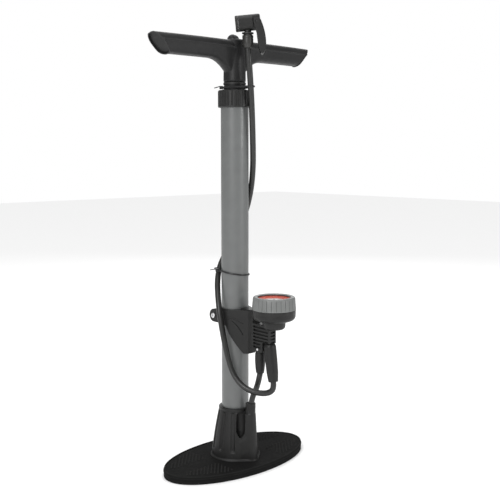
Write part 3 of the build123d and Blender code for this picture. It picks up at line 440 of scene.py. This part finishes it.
def tread_studs():
    """Rows of low diamonds in four patches, two on each wing."""
    corner = [(1.7, 0.0), (0.0, 1.4), (-1.7, 0.0), (0.0, -1.4)]
    levels = [(1.0, -0.5), (0.95, 0.6), (0.6, 1.0)]
    bm = bmesh.new()
    for row in range(-16, 17):
        y = row * STUD_PITCH * 0.55
        for column in range(-36, 37):
            x = (column + 0.5 * (row % 2)) * STUD_PITCH
            if not TREAD_START < abs(x) < TREAD_END or abs(y) < TREAD_GAP:
                continue
            if (x / (FOOT_A - 11.0)) ** 2 + (y / (FOOT_B - 9.0)) ** 2 > 1.0:
                continue
            z = plate_height(x, y)
            skin(bm, [[(x + s * a, y + s * b, z + h) for a, b in corner] for s, h in levels])
    studs = link("foot_tread", mesh_of("foot_tread", bm, smooth=False), "black_moulding", "pump_body")
    studs.data.materials[0] = FINISH["matt_plate"]


# ---------------------------------------------------------------------------------------------------------
# Tower: grooved socket round the barrel, hose boss in front of it, one skirt for both
# ---------------------------------------------------------------------------------------------------------
TOWER_TOP = 81.0
TOWER_BASE_R = 33.9
TOWER_TOP_R = BARREL_R + 3.4
GROOVES = 11
GROOVE_LOW = 21.5
GROOVE_DEPTH = 2.9
GROOVE_HALF = 3.4
BOSS_BASE_R = 10.2
BOSS_TOP = 91.0
POCKET_TOP = 76.4
BORE_LOW = 20.0
HOSE_BORE_LOW = 82.0


def tower_radius(z):
    """The tower narrows upwards along a shallow curve."""
    share = max(0.0, (z - TOWER_FOOT) / (TOWER_TOP - TOWER_FOOT))
    return TOWER_BASE_R + (TOWER_TOP_R - TOWER_BASE_R) * (0.62 * share + 0.38 * share ** 2)


def tower_ring(z, count=440):
    """The tower's outline at one height. The grooves fade in above the plate and out below the lip."""
    outer = tower_radius(z)
    lower = min(1.0, max(0.0, (z - GROOVE_LOW) / 3.5))
    upper = min(1.0, max(0.0, (TOWER_TOP - 4.5 - z) / 2.0))
    ring = []
    for i in range(count):
        angle = tau * i / count
        turn = (angle + pi / 2) / (tau / GROOVES) - 0.5
        away = abs(turn - round(turn)) * tau / GROOVES * outer
        radius = outer - GROOVE_DEPTH * sqrt(lower) * upper * max(0.0, 1 - (away / GROOVE_HALF) ** 2)
        ring.append((radius * cos(angle), radius * sin(angle), z))
    return ring


def boss_ring(z, count=120):
    """The hose boss's outline at one height, with ten fine grooves over its upper part."""
    outer = BOSS_BASE_R + (BOSS_R - BOSS_BASE_R) * min(1.0, (z - TOWER_FOOT) / 60.0) ** 0.9
    lower = min(1.0, max(0.0, (z - 42.0) / 5.0))
    upper = min(1.0, max(0.0, (84.0 - z) / 2.0))
    ring = []
    for i in range(count):
        angle = tau * i / count
        radius = outer - 0.45 * lower * upper * abs(cos(5 * angle)) ** 0.8
        ring.append((radius * cos(angle), BOSS_Y + radius * sin(angle), z))
    return ring


def tower():
    bm = bmesh.new()
    height = TOWER_TOP - TOWER_FOOT
    skin(bm, [tower_ring(TOWER_FOOT - 1.0 + (height + 1.0) * step / 59) for step in range(60)])
    # lip round the tower's top
    lathe(bm, [(15.0, TOWER_TOP - 3.4), (TOWER_TOP_R + 0.5, TOWER_TOP - 3.4),
               (TOWER_TOP_R + 0.9, TOWER_TOP - 2.6), (TOWER_TOP_R + 0.7, TOWER_TOP), (15.0, TOWER_TOP),
               (15.0, TOWER_TOP - 3.4)], 144)
    # bead where the tower and its boss meet the plate
    far = Vector((0.0, BOSS_Y))
    bead = [(1.6, 11.0, -1.0), (1.4, 10.8, 0.9), (0.5, 10.0, 1.7)]
    skin(bm, [hull_ring(TOWER_BASE_R + out, far, reach, TOWER_FOOT + up) for out, reach, up in bead])
    # skirt between the tower and its boss, kept behind the tower's grooves
    skirt = [(TOWER_FOOT - 1.0, 10.0), (26.0, 9.6), (44.0, 8.8), (64.0, 7.8), (TOWER_TOP - 5.0, 7.2)]
    skin(bm, [hull_ring(tower_radius(z) - 2.2, far, reach, z) for z, reach in skirt])
    skin(bm, [boss_ring(TOWER_FOOT + (BOSS_TOP - TOWER_FOOT) * step / 35) for step in range(36)])
    # web behind the boss
    web_top = TOWER_TOP - 4.0
    box(bm, (0, BOSS_Y / 2, (TOWER_FOOT + web_top) / 2), (8.0, -BOSS_Y, web_top - TOWER_FOOT))
    body = link("socket_tower", mesh_of("socket_tower", bm), "black_moulding", "pump_body", ["barrel_socket"])
    remesh(body, 0.6, 1)
    # pockets between the tower and the boss, and the bores for the barrel and the hose
    stepped = [(3.2, 42.0), (3.2, 44.4), (4.6, 44.6), (4.6, 46.8), (5.8, 47.0), (5.8, 49.2), (6.6, 49.4),
               (6.6, 74.0), (5.4, POCKET_TOP)]
    rounded_floor = [(5.0, 43.0), (6.6, 46.0), (7.4, 52.0), (7.4, 74.0), (6.0, POCKET_TOP)]
    cuts = [(stepped, side * 12.6, -25.4) for side in (-1, 1)]
    cuts += [(rounded_floor, side * 18.5, -30.0) for side in (-1, 1)]
    cuts += [([(BARREL_R + 0.12, BORE_LOW), (BARREL_R + 0.12, 120.0)], 0.0, 0.0),
             ([(HOSE_R + 0.25, HOSE_BORE_LOW), (HOSE_R + 0.25, 110.0)], 0.0, BOSS_Y)]
    for profile, x, y in cuts:
        form = bmesh.new()
        lathe(form, profile, 96, Matrix.Translation((x, y, 0.0)))
        carve(body, form)
    sharpen(body, 50.0)


# ---------------------------------------------------------------------------------------------------------
# Handle: two ridged arms that are almost level, raked ends with set-in caps, and the column between them
# ---------------------------------------------------------------------------------------------------------
HALF_SPAN = handle_high.x + 0.8
GRIP_Z = handle_low.z + 41.9
COLUMN_R = 15.2
SWEEP_START = 50.0
SWEEP_RUN = 36.0
SWEEP_DEPTH = 17.0
END_RAKE = 10.5


def rounded(points, radii, per_corner=7):
    """A closed outline with its corners rounded, always with the same number of points."""
    out = []
    for k, corner in enumerate(points):
        here = Vector(corner)
        before = (Vector(points[k - 1]) - here)
        after = (Vector(points[(k + 1) % len(points)]) - here)
        reach = min(radii[k], 0.48 * before.length, 0.48 * after.length)
        start, end = here + before.normalized() * reach, here + after.normalized() * reach
        for i in range(per_corner):
            t = i / (per_corner - 1)
            out.append((1 - t) ** 2 * start + 2 * t * (1 - t) * here + t ** 2 * end)
    return out


def arm_section(x):
    """The arm's outline in Y and Z, deeper towards the column, where its underside sweeps down."""
    share = abs(x) / HALF_SPAN
    rise = 0.4 * sin(pi * share) - 0.2 * share ** 2
    near = min(1.0, max(0.0, (SWEEP_START - abs(x)) / SWEEP_RUN))
    sweep = SWEEP_DEPTH * near ** 2.4
    narrow = 2.5 * near
    waist = 0.6 * sin(pi * min(1.0, share * 1.25))
    outline = [
        (-13.0 + waist, 4.6),
        (-13.9 + waist, 3.6),
        (-12.9 + waist, 2.6),
        (-7.0, 13.4),
        (6.0, 13.8),
        (12.9 - waist, 4.0),
        (10.2 - narrow, -11.5 - sweep),
        (0.0, -14.2 - sweep),
        (-10.6 + narrow, -11.5 - sweep),
    ]
    ring = rounded(outline, (0.5, 0.5, 0.5, 6.0, 7.5, 7.0, 6.0, 5.0, 6.0))
    return [(x, p.x, GRIP_Z + p.y * (1 - 0.03 * share) + rise) for p in ring]


def step_face(bm, face, share, move):
    """Extrudes a flat face, scaled about its middle and moved, and gives back the new face."""
    middle = face.calc_center_median()
    made = bmesh.ops.extrude_face_region(bm, geom=[face])["geom"]
    bmesh.ops.delete(bm, geom=[face], context="FACES_ONLY")
    for vert in [item for item in made if isinstance(item, bmesh.types.BMVert)]:
        vert.co = middle + (vert.co - middle) * share + move
    return next(item for item in made if isinstance(item, bmesh.types.BMFace))


def handle():
    bm = bmesh.new()
    skin(bm, [arm_section(-HALF_SPAN + 2 * HALF_SPAN * k / 96) for k in range(97)])
    low, top = handle_low.z, GRIP_Z + 14.6
    lathe(bm, [(COLUMN_R - 0.8, low), (COLUMN_R, low + 0.8), (COLUMN_R, low + 5.0),
               (COLUMN_R - 0.3, low + 26.0), (COLUMN_R - 0.2, top - 3.0), (COLUMN_R - 1.6, top - 0.8),
               (COLUMN_R - 5.0, top)], 128)
    # crown behind the rod, and the spine that runs from it down the column's front
    crown = [(8.2, top - 8.0)]
    for k in range(13):
        lift = pi / 2 * k / 12
        crown.append((8.2 * cos(lift), top - 3.0 + 10.4 * sin(lift)))
    lathe(bm, crown, 64, Matrix.Translation((0.0, 4.0, 0.0)))
    spine = []
    for k in range(17):
        share = k / 16
        y = 1.0 - 12.6 * share ** 0.8
        z = top + 3.4 - share - 26.0 * share ** 3
        half = 4.6 * (1 - 0.55 * share)
        spine.append([(half * across, y + 1.2 * up, z + 3.0 * up) for across, up, _ in circle(1.0, 0.0, 24)])
    skin(bm, spine)
    body = link("handle_moulding", mesh_of("handle_moulding", bm), "grip_plastic", "handle_set", ["handle"])
    remesh(body, 0.6, 2)
    # both ends are cut off at a slant, and each gets a collar and a set-in cap
    bm = bmesh.new()
    bm.from_mesh(body.data)
    for side in (-1, 1):
        toe = Vector((side * (HALF_SPAN - END_RAKE), 0.0, GRIP_Z)) * MM
        away = Vector((side, -0.18, -0.85)).normalized()
        rake = bmesh.ops.bisect_plane(bm, geom=bm.verts[:] + bm.edges[:] + bm.faces[:], plane_co=toe,
                                      plane_no=away, clear_outer=True)
        edges = [e for e in rake["geom_cut"] if isinstance(e, bmesh.types.BMEdge)]
        face = bmesh.ops.contextual_create(bm, geom=edges)["faces"][0]
        for share, depth in ((1.03, 0.5), (1.0, 0.5), (0.92, 0.0), (0.97, -2.4)):
            face = step_face(bm, face, share, away * depth * MM)
    bmesh.ops.recalc_face_normals(bm, faces=bm.faces)
    bm.to_mesh(body.data)
    bm.free()
    sharpen(body, 42.0)


# ---------------------------------------------------------------------------------------------------------
# Mouldings that keep their CAD form, with its corners rounded as a tool leaves them
# ---------------------------------------------------------------------------------------------------------
def moulded(name, node, voxel, smoothing, slot, body):
    data = NODES[node].data.copy()
    data.materials.clear()
    obj = link(name, data, slot, body, [node])
    remesh(obj, voxel, smoothing)
    sharpen(obj, 55.0)
    return obj


ARM_FRONT = corners("gauge_bracket")[0].y
ARM_SPLIT = ARM_FRONT + 16.0
ARM_BACK = -44.0
ARM_HALF = 6.2
ARM_TOP = 206.5
LOUVRE_PITCH = 4.6
LOUVRE_WIDTH = 2.3
LOUVRE_DEPTH = 4.3
CHEEK_START = Vector((19.9, -10.5))
CHEEK_END = Vector((7.2, -34.5))


def cheek_groove(side, high, low, sag):
    """A round bar along one cheek, from high at the sleeve to low at the column."""
    rings = []
    for k in range(15):
        share = k / 14
        place = CHEEK_START.lerp(CHEEK_END, 0.84 * share - 0.10)
        z = high + (low - high) * share ** 1.3 + sag * sin(pi * share)
        radius = 1.15 + 0.4 * share ** 6
        rings.append([(side * (place.x + radius * cos(tau * i / 16)), place.y, z + radius * sin(tau * i / 16))
                      for i in range(16)])
    bar = bmesh.new()
    skin(bar, rings)
    return bar


def bracket():
    """The bracket's moulding, with two grooves over each of its cheeks and louvres in its arm."""
    body = moulded("bracket_moulding", "gauge_bracket", 0.5, 2, "black_moulding", "pump_body")
    for side in (-1, 1):
        carve(body, cheek_groove(side, 211.0, 204.5, 0.8))
        carve(body, cheek_groove(side, 209.5, 188.0, 2.4))
    louvres = bmesh.new()
    for row in range(7):
        z = ARM_TOP - 4.4 - LOUVRE_PITCH * row
        front = ARM_FRONT + 3.0 if row < 5 else ARM_SPLIT + 2.0
        for side in (-1, 1):
            box(louvres, (side * ARM_HALF, (front + ARM_BACK) / 2, z),
                (LOUVRE_DEPTH, ARM_BACK - front, LOUVRE_WIDTH))
        if row < 5:
            box(louvres, (0.0, ARM_FRONT, z), (2 * ARM_HALF - 4.4, LOUVRE_DEPTH, LOUVRE_WIDTH))
    carve(body, louvres)
    sharpen(body, 50.0)


# ---------------------------------------------------------------------------------------------------------
# Hose connectors and the hose's ferrule
# ---------------------------------------------------------------------------------------------------------
def connector_boots():
    bm = bmesh.new()
    low, high = supply_low.z, supply_high.z
    lathe(bm, [(4.15, low), (5.0, low + 0.3), (5.6, low + 1.6), (6.1, low + 5.0), (6.6, low + 10.0),
               (7.0, low + 16.0), (7.05, low + 22.0), (6.8, high - 2.8), (6.0, high - 2.0), (6.0, high),
               (2.7, high), (2.7, low + 12.0), (4.15, low + 11.0), (4.15, low)], 96,
          Matrix.Translation((0.0, SUPPLY_Y, 0.0)))
    sharpen(link("supply_boot", mesh_of("supply_boot", bm), "black_moulding", "pump_body",
                 ["supply_connector"]))
    moulded("delivery_boot", "delivery_connector", 0.4, 6, "black_moulding", "pump_body")


def ferrule():
    bm = bmesh.new()
    low, high = ferrule_low.z, ferrule_high.z
    centre = (ferrule_low + ferrule_high) / 2
    lathe(bm, [(4.1, low), (5.0, low + 0.2), (6.0, low + 2.4), (7.0, low + 4.6), (7.25, low + 6.0),
               (7.3, high - 4.6), (7.0, high - 4.3), (7.0, high - 3.9), (7.3, high - 3.6),
               (7.3, high - 0.8), (6.8, high - 0.1), (2.7, high - 0.1), (2.7, low + 3.0), (4.1, low + 2.4),
               (4.1, low)], 96, Matrix.Translation((centre.x, centre.y, 0.0)))
    piece = link("hose_collar", mesh_of("hose_collar", bm), "ferrule_dark", "pump_body", ["hose_ferrule"])
    sharpen(piece)


# ---------------------------------------------------------------------------------------------------------
# Gauge: printed dial, grip ring, the cup's rounded foot and the lens
# ---------------------------------------------------------------------------------------------------------
FIRST_ANGLE = 225.0
SWEEP_ANGLE = 270.0
TICKS = 48
TICK_OUTER = 16.6
NUMBER_R = 11.4
NUMBER_SIZE = 3.6
FLATS = 28
PER_FLAT = 12
FLAT_GROOVE = 0.75


def dial_print():
    """Ticks and plain numbers on the dial."""
    top = dial_high.z + 0.02
    bm = bmesh.new()
    for k in range(TICKS + 1):
        turn = Matrix.Rotation(radians(FIRST_ANGLE - SWEEP_ANGLE * k / TICKS), 4, "Z")
        inner, width = (14.0, 0.5) if k % 8 == 0 else (15.2, 0.25)
        box(bm, turn @ Vector(((TICK_OUTER + inner) / 2, 0, 0)) + Vector((0, GAUGE.y, top)),
            (TICK_OUTER - inner, width, 0.06), turn)
    link("dial_ticks", mesh_of("dial_ticks", bm, smooth=False), "pointer_black", "pump_body")
    for k in range(7):
        angle = radians(FIRST_ANGLE - SWEEP_ANGLE / 6 * k)
        place = (NUMBER_R * cos(angle) * MM, (GAUGE.y + NUMBER_R * sin(angle)) * MM, top * MM)
        data = bpy.data.curves.new(f"dial_number_{k}", "FONT")
        data.body = str(2 * k)
        data.size = NUMBER_SIZE * MM
        data.extrude = 0.03 * MM
        data.align_x = "CENTER"
        data.align_y = "CENTER"
        letters = bpy.data.objects.new("letters", data)
        bpy.context.scene.collection.objects.link(letters)
        bpy.context.view_layer.update()
        mesh = bpy.data.meshes.new_from_object(letters.evaluated_get(bpy.context.evaluated_depsgraph_get()))
        bpy.data.objects.remove(letters)
        mesh.transform(Matrix.Translation(place))
        mesh.materials.clear()
        link(f"dial_number_{2 * k}", mesh, "pointer_black", "pump_body")


def grip_ring():
    """The knurled ring: flats with narrow grooves between them, a rounded rim and a lip over the lens."""
    bm = bmesh.new()
    low, high = ring_low.z, ring_high.z
    profile = [(RING_R - 3.2, low, 0), (RING_R - 0.5, low, 0), (RING_R, low + 0.6, 0),
               (RING_R - 0.1, low + 1.4, 1), (RING_R - 0.6, low + 7.0, 1), (RING_R - 1.1, high - 2.6, 1),
               (RING_R - 1.4, high - 1.6, 0), (RING_R - 2.0, high - 0.6, 0), (RING_R - 3.0, high, 0),
               (RING_R - 6.0, high, 0), (RING_R - 7.2, high - 0.4, 0), (RING_R - 7.4, high - 0.9, 0),
               (RING_R - 7.4, high - 1.5, 0), (RING_R - 3.2, high - 1.5, 0), (RING_R - 3.2, low, 0)]
    rings = []
    for radius, z, grooved in profile:
        ring = []
        for i in range(FLATS * PER_FLAT):
            angle = tau * i / (FLATS * PER_FLAT)
            reach = radius - FLAT_GROOVE * grooved * (i % PER_FLAT == 0)
            ring.append((reach * cos(angle), GAUGE.y + reach * sin(angle), z))
        rings.append(ring)
    skin(bm, rings, caps=False)
    piece = link("grip_ring", mesh_of("grip_ring", bm), "ring_plastic", "gauge_ring", ["gauge_ring"])
    sharpen(piece, 34.0)


def saddle():
    """Rounded foot of the gauge's cup, round the arm's top."""
    bm = bmesh.new()
    top = case_low.z + 8.4
    lathe(bm, [(5.0, top - 12.6), (12.4, top - 12.2), (14.6, top - 10.6), (15.4, top - 8.0),
               (15.6, top - 0.6), (15.0, top), (5.0, top), (5.0, top - 12.6)], 96,
          Matrix.Translation((0.0, GAUGE.y, 0.0)))
    piece = link("gauge_saddle", mesh_of("gauge_saddle", bm), "black_moulding", "pump_body")
    sharpen(piece)


def lens():
    bm = bmesh.new()
    low, radius = lens_low.z, (lens_high.x - lens_low.x) / 2
    lathe(bm, [(0.0, low + 0.2), (radius - 1.2, low + 0.1), (radius - 0.6, low), (radius, low + 0.1),
               (radius, low + 0.7), (radius - 1.4, low + 0.9), (radius * 0.7, low + 1.1),
               (radius * 0.35, low + 1.25), (0.0, low + 1.3)], 96, Matrix.Translation((0.0, GAUGE.y, 0.0)))
    link("gauge_window", mesh_of("gauge_window", bm), "lens_clear", "pump_body", ["gauge_lens"])


# ---------------------------------------------------------------------------------------------------------
# Cable ties: toothed belt, head and tail
# ---------------------------------------------------------------------------------------------------------
BELT_MIDDLE = 1.3
NECK_DROP = 11.0
LOWER_TIE = 270.0


def tie(name, node, height, radius, hose, hose_radius, lean, blocks):
    """A belt round the barrel or cap and its hose, leaning by so much in X and Y, with its head and tail."""
    count = 240
    far = Vector((*hose, 0.0))
    bm = bmesh.new()
    rings = []
    for i in range(count):
        away = Vector((cos(tau * i / count), sin(tau * i / count), 0.0))
        inside = hull_point(away, radius, far, hose_radius)
        tooth = 0.12 * (i % 2)
        section = [(0.12, -1.1), (0.0, -0.9), (0.0, 0.9), (0.12, 1.1), (1.0, 1.1), (1.12 + tooth, 0.8),
                   (1.12 + tooth, -0.8), (1.0, -1.1)]
        ring = []
        for out, up in section:
            point = inside + away * out
            ring.append((point.x, point.y,
                         height + BELT_MIDDLE + up + lean[0] * point.x + lean[1] * point.y))
        rings.append(ring)
    skin(bm, rings + [rings[0]], caps=False)
    for place, size, lift, heading in blocks:
        turn = Matrix.Rotation(radians(heading), 4, "Z") @ Matrix.Rotation(radians(lift), 4, "Y")
        made = box(bm, place, size, turn)
        edges = list({e for v in made for e in v.link_edges})
        bmesh.ops.bevel(bm, geom=edges, offset=0.3, segments=2, affect="EDGES")
    obj = link(name, mesh_of(name, bm), "tie_nylon", "pump_body", [node])
    sharpen(obj)


def ties():
    upper = cap_high.z - NECK_DROP + 2.6
    head = ((-14.0, 11.6, upper + 1.3), (5.0, 4.2, 4.2), 0, 140)
    tail = ((-17.2, 16.4, upper + 1.9), (9.0, 2.4, 1.0), 14, 118)
    tie("upper_strap", "upper_tie", upper, 15.65, (0.9, -31.0), HOSE_R + 0.5, (0.0, 0.0), (head, tail))
    head = ((-19.2, 16.2, LOWER_TIE + 4.6), (4.4, 4.8, 4.2), 0, 140)
    tail = ((-23.0, 20.2, LOWER_TIE + 5.2), (9.0, 2.4, 1.0), 6, 137)
    tie("lower_strap", "lower_tie", LOWER_TIE, BARREL_R + 0.3, (-9.4, 23.2), HOSE_R + 1.6, (-0.10, 0.095),
        (head, tail))


foot_plate()
tread_studs()
tower()
handle()
bracket()
moulded("head_moulding", "head_body", 0.4, 2, "black_moulding", "pump_body")
moulded("lever_moulding", "head_lever", 0.4, 3, "black_moulding", "lever")
connector_boots()
ferrule()
dial_print()
grip_ring()
saddle()
lens()
ties()
# the CAD pieces that show as they are
for obj in NODES.values():
    for polygon in obj.data.polygons:
        polygon.use_smooth = True
    sharpen(obj, 30.0)


# ---------------------------------------------------------------------------------------------------------
# Studio
# ---------------------------------------------------------------------------------------------------------
WORLD_STRENGTH = 0.34
SUN_STRENGTH = 1.9
SUN_WIDTH = radians(70.0)
LIT_PLACE = Vector((0, 0, 0.3))
LAMPS = [
    ("key", (-1.7, -0.7, 1.1), 19.0, 0.8),
    ("fill", (0.7, -1.8, 0.7), 8.0, 0.5),
    ("rim", (1.3, 1.2, 1.3), 9.0, 1.0),
]


def studio():
    world = bpy.data.worlds.new("studio")
    world.use_nodes = True
    tree = world.node_tree
    tree.nodes["Background"].inputs["Color"].default_value = (1.0, 1.0, 1.0, 1.0)
    tree.nodes["Background"].inputs["Strength"].default_value = WORLD_STRENGTH
    backdrop = tree.nodes.new("ShaderNodeBackground")
    backdrop.inputs["Color"].default_value = (1.0, 1.0, 1.0, 1.0)
    rays = tree.nodes.new("ShaderNodeLightPath")
    choice = tree.nodes.new("ShaderNodeMixShader")
    tree.links.new(rays.outputs["Is Camera Ray"], choice.inputs[0])
    tree.links.new(tree.nodes["Background"].outputs[0], choice.inputs[1])
    tree.links.new(backdrop.outputs[0], choice.inputs[2])
    tree.links.new(choice.outputs[0], tree.nodes["World Output"].inputs["Surface"])
    bpy.context.scene.world = world
    bpy.context.scene.view_settings.view_transform = "Standard"
    bm = bmesh.new()
    bmesh.ops.create_grid(bm, x_segments=1, y_segments=1, size=6.0)
    mesh = bpy.data.meshes.new("floor")
    bm.to_mesh(mesh)
    bm.free()
    floor = bpy.data.objects.new("floor", mesh)
    bpy.context.scene.collection.objects.link(floor)
    paper = bpy.data.materials.new("paper")
    paper.use_nodes = True
    shader = paper.node_tree.nodes["Principled BSDF"]
    shader.inputs["Base Color"].default_value = (0.97, 0.97, 0.97, 1.0)
    shader.inputs["Roughness"].default_value = 0.9
    floor.data.materials.append(paper)
    overhead = bpy.data.lights.new("overhead", "SUN")
    overhead.energy = SUN_STRENGTH
    overhead.angle = SUN_WIDTH
    bpy.context.scene.collection.objects.link(bpy.data.objects.new("overhead", overhead))
    for name, place, power, size in LAMPS:
        data = bpy.data.lights.new(name, "AREA")
        data.energy = power
        data.size = size
        lamp = bpy.data.objects.new(name, data)
        lamp.location = place
        lamp.rotation_euler = (Vector(place) - LIT_PLACE).to_track_quat("Z", "Y").to_euler()
        bpy.context.scene.collection.objects.link(lamp)


studio()
